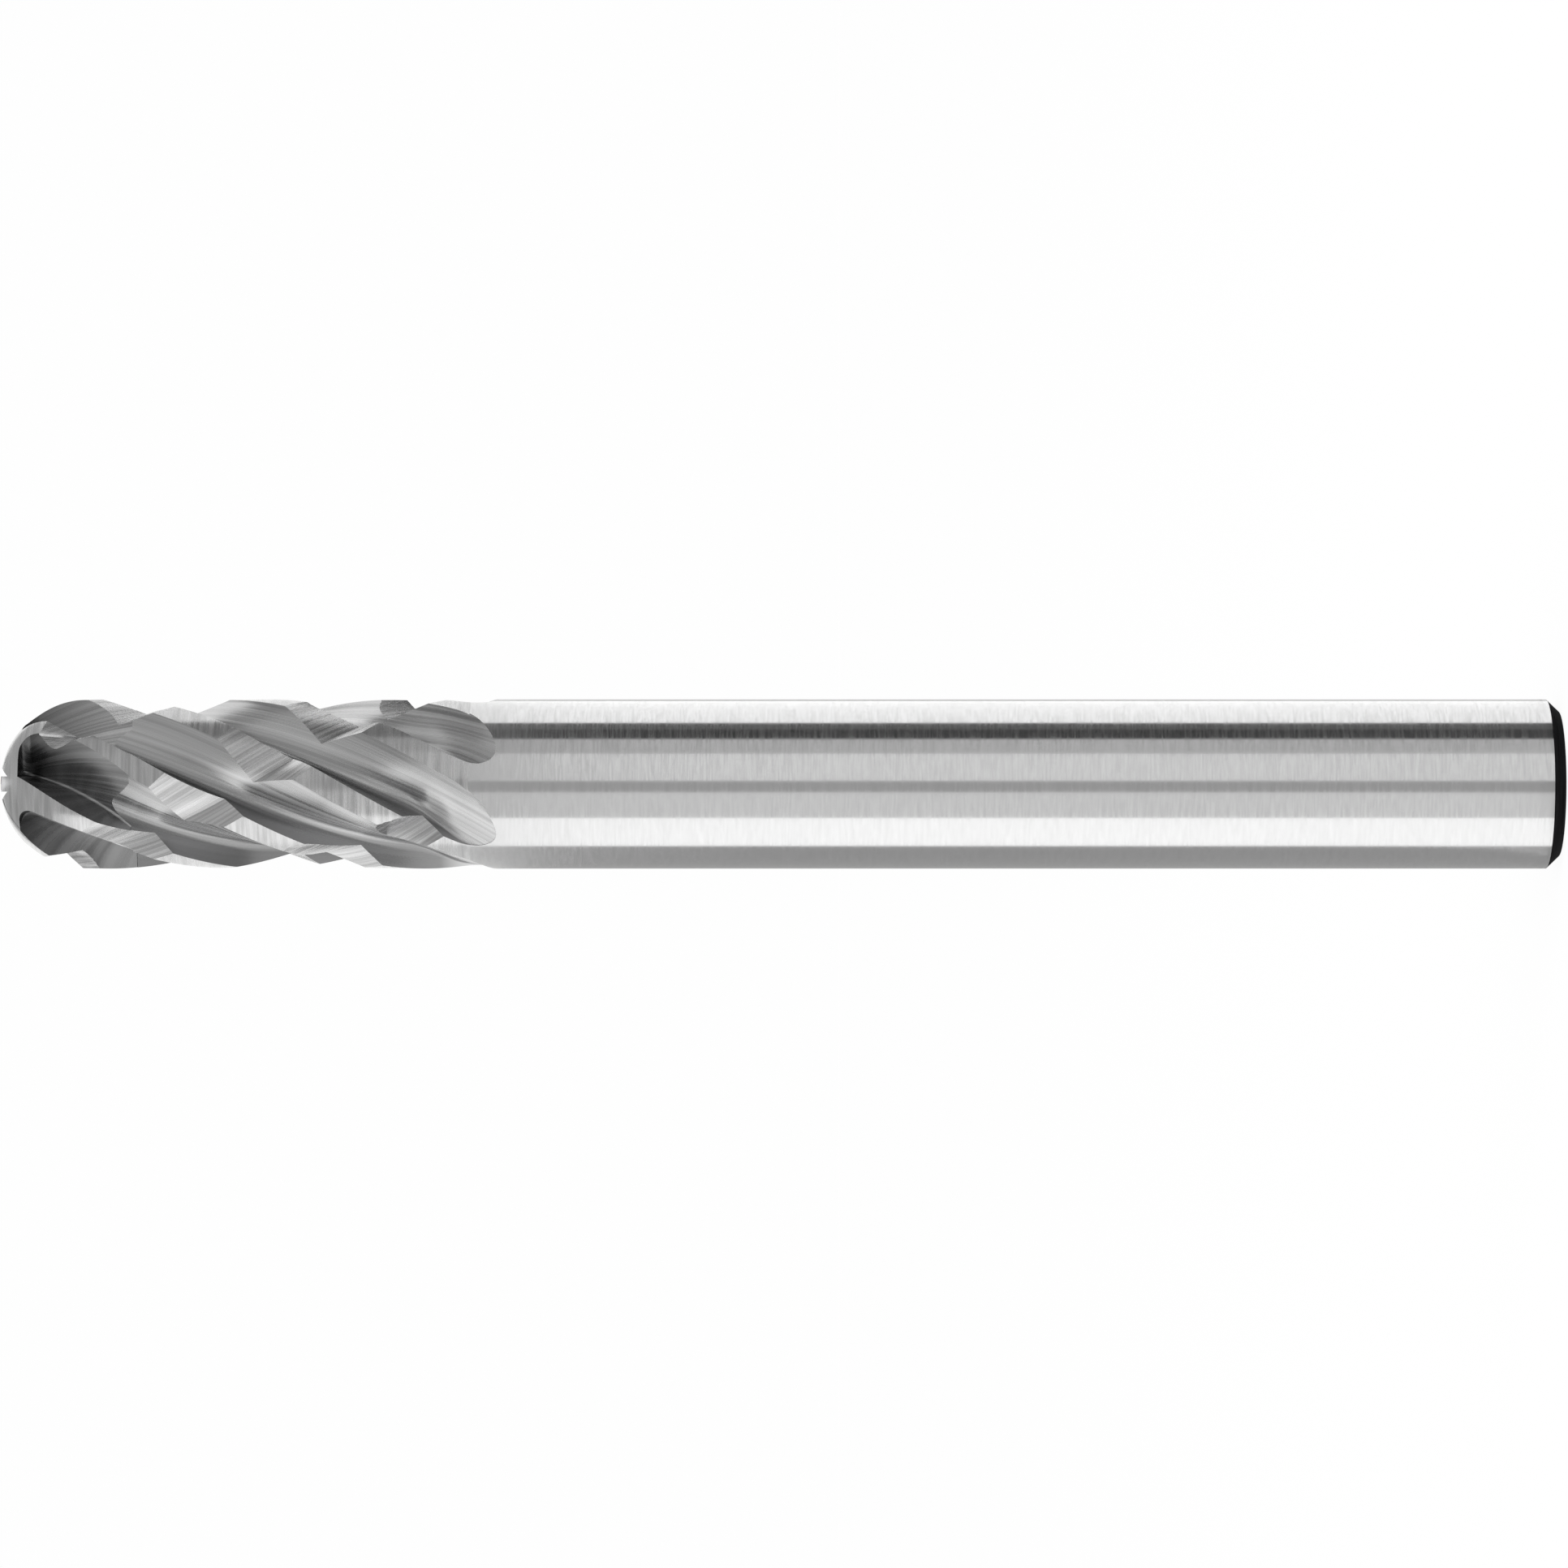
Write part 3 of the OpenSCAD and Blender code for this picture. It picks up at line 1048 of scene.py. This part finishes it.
@dataclass(frozen=True)
class Tool:
    """The whole burr as one closed piece."""

    burr: Burr
    breakers: int = 3
    gash_slope: float = 27.0
    gash_start: float = 0.8
    gash_change: tuple[float, float] = (5.7, 0.02)
    most_lean: float = 35.0

    def build(self) -> bpy.types.Object:
        """Cut the burr from its blanks, dress it and return it at the origin.

        Returns:
            The finished piece.
        """
        burr = self.burr
        flute = Flute(burr)
        breaker = Breaker(burr, cap_l=self.gash_start)
        less, later = self.gash_change
        host = ToothBlank(burr).mesh()
        given: dict[str, Any] = {
            "Shank blank": Shank(burr).mesh(),
            "Flute cutter": flute.mesh(),
            "Even gash cutter": EndGash(burr, flute, self.gash_slope, self.gash_start).mesh("even_gash_cutter"),
            "Odd gash cutter": EndGash(
                burr, flute, self.gash_slope - less, self.gash_start + later
            ).mesh("odd_gash_cutter"),
            "Gully cutter": Gully(burr).mesh(),
            "Breaker cutter": breaker.mesh(),
            "Teeth": burr.teeth,
            "Breaker grooves": self.breakers,
        }
        materials = {cut: finish.material(burr, breaker) for cut, finish in FINISHES.items()}
        tree = CuttingTree().build(materials)
        modifier = host.modifiers.new("teeth", "NODES")
        modifier.node_group = tree
        for item in tree.interface.items_tree:
            if item.item_type == "SOCKET" and item.in_out == "INPUT" and item.name in given:
                modifier[item.identifier] = given[item.name]
        bpy.context.view_layer.update()
        depsgraph = bpy.context.evaluated_depsgraph_get()
        mesh = bpy.data.meshes.new_from_object(
            host.evaluated_get(depsgraph), preserve_all_data_layers=True, depsgraph=depsgraph
        )
        host.modifiers.clear()
        for value in [*given.values(), host]:
            if isinstance(value, bpy.types.Object):
                bpy.data.objects.remove(value)
        mesh.name = "carbide_burr"
        piece = linked("carbide_burr", mesh)
        self.shade(mesh)
        return piece

    def shade(self, mesh: bpy.types.Mesh) -> None:
        """Give the cut mesh the normals of the surfaces that cut it, which it holds as an attribute.

        Copies of a cutter are turned and their normals aren't, so each face takes the turn that fits it best.

        Args:
            mesh: the cut mesh.
        """
        normals = read(mesh.attributes[NORMAL_NAME].data, "vector", 3, np.float32)
        length = np.linalg.norm(normals, axis=1)
        normals = normals / np.maximum(length, 1e-6)[:, None]
        flat = read(mesh.polygons, "normal", 3, np.float32)
        totals = read(mesh.polygons, "loop_total", 1, np.int32)[:, 0]
        kinds = read(mesh.attributes[CUT_NAME].data, "value", 1, np.int32)[:, 0]
        of_face = np.repeat(np.arange(len(totals)), totals)
        firsts = np.concatenate([[0], np.cumsum(totals)[:-1]])
        fixed = np.isin(kinds, [Cut.SHANK.value, Cut.BEVEL.value, Cut.LAND.value])
        best = np.full(len(totals), -2.0)
        turned = normals.copy()
        for k in range(self.burr.teeth):
            tried = normals @ turn_matrix(k * self.burr.pitch).T
            agree = np.add.reduceat((tried * flat[of_face]).sum(1), firsts) / totals
            better = agree > best + 1e-4
            if k:
                better &= ~fixed
            best = np.where(better, agree, best)
            turned = np.where(better[of_face][:, None], tried, turned)
        astray = (turned * flat[of_face]).sum(1) < math.cos(math.radians(self.most_lean))
        LOG.info("normals: %d corners, %d astray", len(normals), int(astray.sum()))
        normals = np.where(astray[:, None], flat[of_face], turned)
        mesh.polygons.foreach_set("use_smooth", [True] * len(mesh.polygons))
        mesh.normals_split_custom_set([tuple(n) for n in normals.tolist()])
        mesh.attributes.remove(mesh.attributes[NORMAL_NAME])
        mesh.update()


@dataclass(frozen=True)
class Tier:
    """A row of reflector cards round the tool, between two heights in millimetres."""

    low: float
    high: float
    cards: Cards


@dataclass(frozen=True)
class Studio:
    """The white studio, its ring of reflector cards, and the camera.

    Only reflections see the cards, as those of a light tent are seen in polished metal. Nothing else
    is lit or shaded by them. The blades and the foot's card carry them down to the tool's foot.
    """

    shank_r: float = 3.0
    tent_r: float = 60.0
    foot_r: float = 2.58
    mat_r: float = 5.0
    blade_h: float = 0.25
    blade_gap: float = 2.1
    shelf_w: float = 6.0
    shelf_gap: float = 2.0
    camera_away: float = 235.0
    camera_z: float = 27.445
    half_view: float = 27.798
    metal: str = "#D4D4D5"
    paper_glow: float = 0.94
    white: float = 0.992
    sky: float = 0.9
    column_turn: float = 6.0
    round_turn: int = 5
    low_z: float = 0.004
    floor_half: float = 3.0
    lamp_size: float = 0.3
    lamp_power: float = 0.5
    lamp_at: Corner = (0.12, -0.22, 0.34)
    lamp_aim: Corner = (0, 0, 0.02)

    # the wall's cards by height, each with its two directions in degrees from the camera, turning down in
    # the picture: the lowest row gives the shank its stripes, and the rest is what the teeth mirror
    tiers: tuple[Tier, ...] = (
        Tier(0.0, 40.5, (
            (-180, -156, Grey.LIGHT),
            (-156, -92, Grey.WHITE),
            (-92, -80, Grey.DARK),
            (-80, -64, Grey.BLACK),
            (-64, -42, Grey.LIGHT),
            (-42, -4, Grey.PALE),
            (-4, 11, Grey.MID),
            (11, 47, Grey.LIGHT),
            (47, 94, Grey.WHITE),
            (94, 180, Grey.MID),
        )),
        Tier(40.5, 88.0, (
            (-180, -92, Grey.PALE),
            (-92, -64, Grey.DIM),
            (-64, 47, Grey.MID),
            (47, 180, Grey.PALE),
        )),
        Tier(88.0, 160.0, ((-180, 180, Grey.MID),)),
    )
    roof: Grey = Grey.MID
    foot: Grey = Grey.BLACK

    # level shelves on the wall, which only rays that run down from the teeth meet; the mat has the same cards
    shelves: Tier = Tier(1.0, 61.0, (
        (-180, -92, Grey.DARK),
        (-92, -42, Grey.DIM),
        (-42, 11, Grey.MID),
        (11, 94, Grey.PALE),
        (94, 180, Grey.DIM),
    ))

    def bearing(self, psi: float, radius: float) -> float:
        """Bearing of the point at a radius that the shank mirrors by a ray turned psi from the camera.

        Args:
            psi: turn of the ray, in degrees.
            radius: distance from the axis.

        Returns:
            The bearing in degrees.
        """
        r = self.shank_r
        n, d = math.radians(psi / 2), math.radians(psi)
        px, py = r * math.cos(n), r * math.sin(n)
        dx, dy = math.cos(d), math.sin(d)
        b = px * dx + py * dy
        t = -b + math.sqrt(b * b - r * r + radius**2)
        return math.degrees(math.atan2(py + t * dy, px + t * dx))

    def shown(self, grey: Grey) -> Colour:
        """Glow of a card that shows as a grey in the metal."""
        return tuple(g / m for g, m in zip(linear(grey.value)[:3], linear(self.metal)[:3]))

    def columns(self, cards: Cards, radius: float) -> list[tuple[float, float, Colour]]:
        """Divide a row of cards at a radius into narrow columns: first and last bearing, and glow.

        Args:
            cards: the row of cards.
            radius: distance from the axis.

        Returns:
            The columns.
        """
        made = []
        for first, last, grey in cards:
            edges = [self.bearing(psi, radius) for psi in spaced(first, last, self.column_turn)]
            made += [(low, high, self.shown(grey)) for low, high in zip(edges, edges[1:])]
        return made

    def tent_point(self, r: float, bearing: float, z: float) -> Corner:
        """Point at a bearing from the camera's direction, which turns down in the photograph."""
        a = math.radians(bearing)
        return -r * math.sin(a) * MM, -r * math.cos(a) * MM, z * MM

    def upright(self, r: float, low: float, high: float, z0: float, z1: float) -> list[Corner]:
        """Corners of an upright card at a radius, between two bearings and two heights."""
        return [self.tent_point(r, b, z) for b, z in ((low, z0), (high, z0), (high, z1), (low, z1))]

    def flat(
        self, inner: tuple[float, float], outer: tuple[float, float], low: float, high: float
    ) -> list[Corner]:
        """Corners of a lying card between two bearings, with its two edges as radius and height."""
        return [self.tent_point(r, b, z) for (r, z), b in ((inner, low), (outer, low), (outer, high), (inner, high))]

    def shelf_slope(self, z: float) -> float:
        """Slope of the shelf at a height on the wall, along the rays that the shank sends there.

        Args:
            z: the height.

        Returns:
            The slope.
        """
        away = self.tent_r / self.camera_away
        source = (z + away * self.camera_z) / (1 + away)
        return (z - source) / self.tent_r

    def card_material(self) -> bpy.types.Material:
        """Build the cards' material, which glows as its attribute says.

        Returns:
            The material.
        """
        made = bpy.data.materials.new("reflector_card")
        tree = bare_tree(made)
        glow = add_node(tree, "ShaderNodeAttribute", attribute_name=GLOW_NAME)
        light = add_node(tree, "ShaderNodeEmission", {"Color": glow.outputs["Color"], "Strength": 1.0})
        add_node(tree, "ShaderNodeOutputMaterial", {"Surface": light.outputs[0]})
        return made

    def card(self, name: str, quads: Iterable[tuple[list[Corner], Colour]]) -> bpy.types.Object:
        """Build an object of cards that only reflections see, from each one's corners and its glow.

        Args:
            name: the object's name.
            quads: corners in metres and the glow of each.

        Returns:
            The object.
        """
        points: list[Corner] = []
        faces: list[list[int]] = []
        glows: list[Colour] = []
        for corners, glow in quads:
            faces.append([len(points) + i for i in range(len(corners))])
            points.extend(corners)
            glows.append(glow)
        mesh = bpy.data.meshes.new(name)
        mesh.from_pydata(points, [], faces)
        store = mesh.attributes.new(GLOW_NAME, "FLOAT_COLOR", "CORNER")
        flat = [v for glow, face in zip(glows, faces) for _ in face for v in (*glow, 1.0)]
        store.data.foreach_set("color", flat)
        mesh.materials.append(self.card_material())
        made = linked(name, mesh)
        for ray in ("camera", "diffuse", "transmission", "volume_scatter", "shadow"):
            setattr(made, f"visible_{ray}", False)
        return made

    def build_cards(self) -> None:
        """Stand the tent's cards and the low blades that carry them down to the tool's foot."""
        self.card("tent_wall", [
            (self.upright(self.tent_r, low, high, tier.low, tier.high), glow)
            for tier in self.tiers
            for low, high, glow in self.columns(tier.cards, self.tent_r)
        ])
        turns = range(0, 360, self.round_turn)
        top = self.tiers[-1].high
        self.card("tent_roof", [([self.tent_point(self.tent_r, a, top) for a in turns], self.shown(self.roof))])
        inner, edge, rim = ((r, self.low_z) for r in (self.foot_r, self.mat_r, self.tent_r))
        mat = [(self.flat(inner, edge, a, a + self.round_turn), self.shown(self.foot)) for a in turns]
        around = self.columns(self.shelves.cards, self.tent_r)
        mat += [(self.flat(edge, rim, low, high), glow) for low, high, glow in around]
        self.card("tent_mat", mat)
        shelves = []
        for z in np.arange(self.shelves.low, self.shelves.high, self.shelf_gap):
            inner = (self.tent_r - self.shelf_w, z - self.shelf_w * self.shelf_slope(z))
            for low, high, glow in around:
                shelves.append((self.flat(inner, (self.tent_r, z), low, high), glow))
        self.card("tent_shelves", shelves)
        blades = []
        radius = self.foot_r + self.blade_gap
        while radius < self.tent_r:
            for low, high, glow in self.columns(self.tiers[0].cards, radius):
                blades.append((self.upright(radius, low, high, self.low_z, self.blade_h), glow))
            radius += self.blade_gap
        self.card("low_blades", blades)

    def build_floor(self) -> None:
        """Lay the white floor, which keeps the tool's shadow."""
        half = self.floor_half
        mesh = bpy.data.meshes.new("floor")
        mesh.from_pydata([(-half, -half, 0), (half, -half, 0), (half, half, 0), (-half, half, 0)], [], [(0, 1, 2, 3)])
        floor = linked("floor", mesh)
        # white paper: it glows white to the eye and in the metal, and takes the tool's soft shadow
        material = bpy.data.materials.new("white_paper_sweep")
        tree = bare_tree(material)
        share = math_node(tree, "MULTIPLY", seen_rays(tree), self.paper_glow)
        paper = add_node(tree, "ShaderNodeBsdfDiffuse", {"Color": linear("#F8F8F8")})
        white = add_node(tree, "ShaderNodeEmission", {"Color": linear("#FFFFFF"), "Strength": 1.0})
        both = add_node(tree, "ShaderNodeMixShader", {0: share, 1: paper.outputs[0], 2: white.outputs[0]})
        add_node(tree, "ShaderNodeOutputMaterial", {"Surface": both.outputs[0]})
        mesh.materials.append(material)

    def build_light(self) -> None:
        """Set the world and one soft lamp."""
        world = bpy.data.worlds.new("white_studio")
        bpy.context.scene.world = world
        tree = bare_tree(world)
        level = math_node(tree, "MULTIPLY_ADD", seen_rays(tree), self.white - self.sky, self.sky)
        sky = add_node(tree, "ShaderNodeBackground", {"Color": linear("#FFFFFF"), "Strength": level})
        add_node(tree, "ShaderNodeOutputWorld", {"Surface": sky.outputs[0]})
        lamp = bpy.data.lights.new("soft_lamp", "AREA")
        lamp.shape = "DISK"
        lamp.size = self.lamp_size
        lamp.energy = self.lamp_power
        made = linked("soft_lamp", lamp)
        made.location = Vector(self.lamp_at)
        made.rotation_mode = "QUATERNION"
        made.rotation_quaternion = (made.location - Vector(self.lamp_aim)).to_track_quat("Z", "Y")
        made.visible_glossy = False

    def build_camera(self) -> None:
        """Set the camera side-on, turned so that the tool lies across the picture with its head left."""
        camera = bpy.data.cameras.new("camera")
        camera.sensor_width = 36.0
        camera.lens = camera.sensor_width / 2 * self.camera_away / self.half_view
        camera.clip_start = 0.01
        camera.clip_end = 20.0
        made = linked("camera", camera)
        right, up, back = Vector((0, 0, -1)), Vector((1, 0, 0)), Vector((0, -1, 0))
        turn = Matrix((right, up, back)).transposed().to_4x4()
        made.matrix_world = Matrix.Translation((0, -self.camera_away * MM, self.camera_z * MM)) @ turn
        bpy.context.scene.camera = made

    def build(self) -> None:
        """Build the studio."""
        scene = bpy.context.scene
        scene.view_settings.view_transform = "Standard"
        self.build_camera()
        self.build_light()
        self.build_floor()
        self.build_cards()


def main() -> None:
    """Build the burr and its studio."""
    logging.basicConfig(level=logging.INFO, format="%(message)s")
    Studio().build()
    LOG.info("studio: built")
    piece = Tool(Burr()).build()
    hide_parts("burr")
    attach(piece, "root")
    LOG.info("%s: %d faces", piece.name, len(piece.data.polygons))


if __name__ == "__main__":
    main()
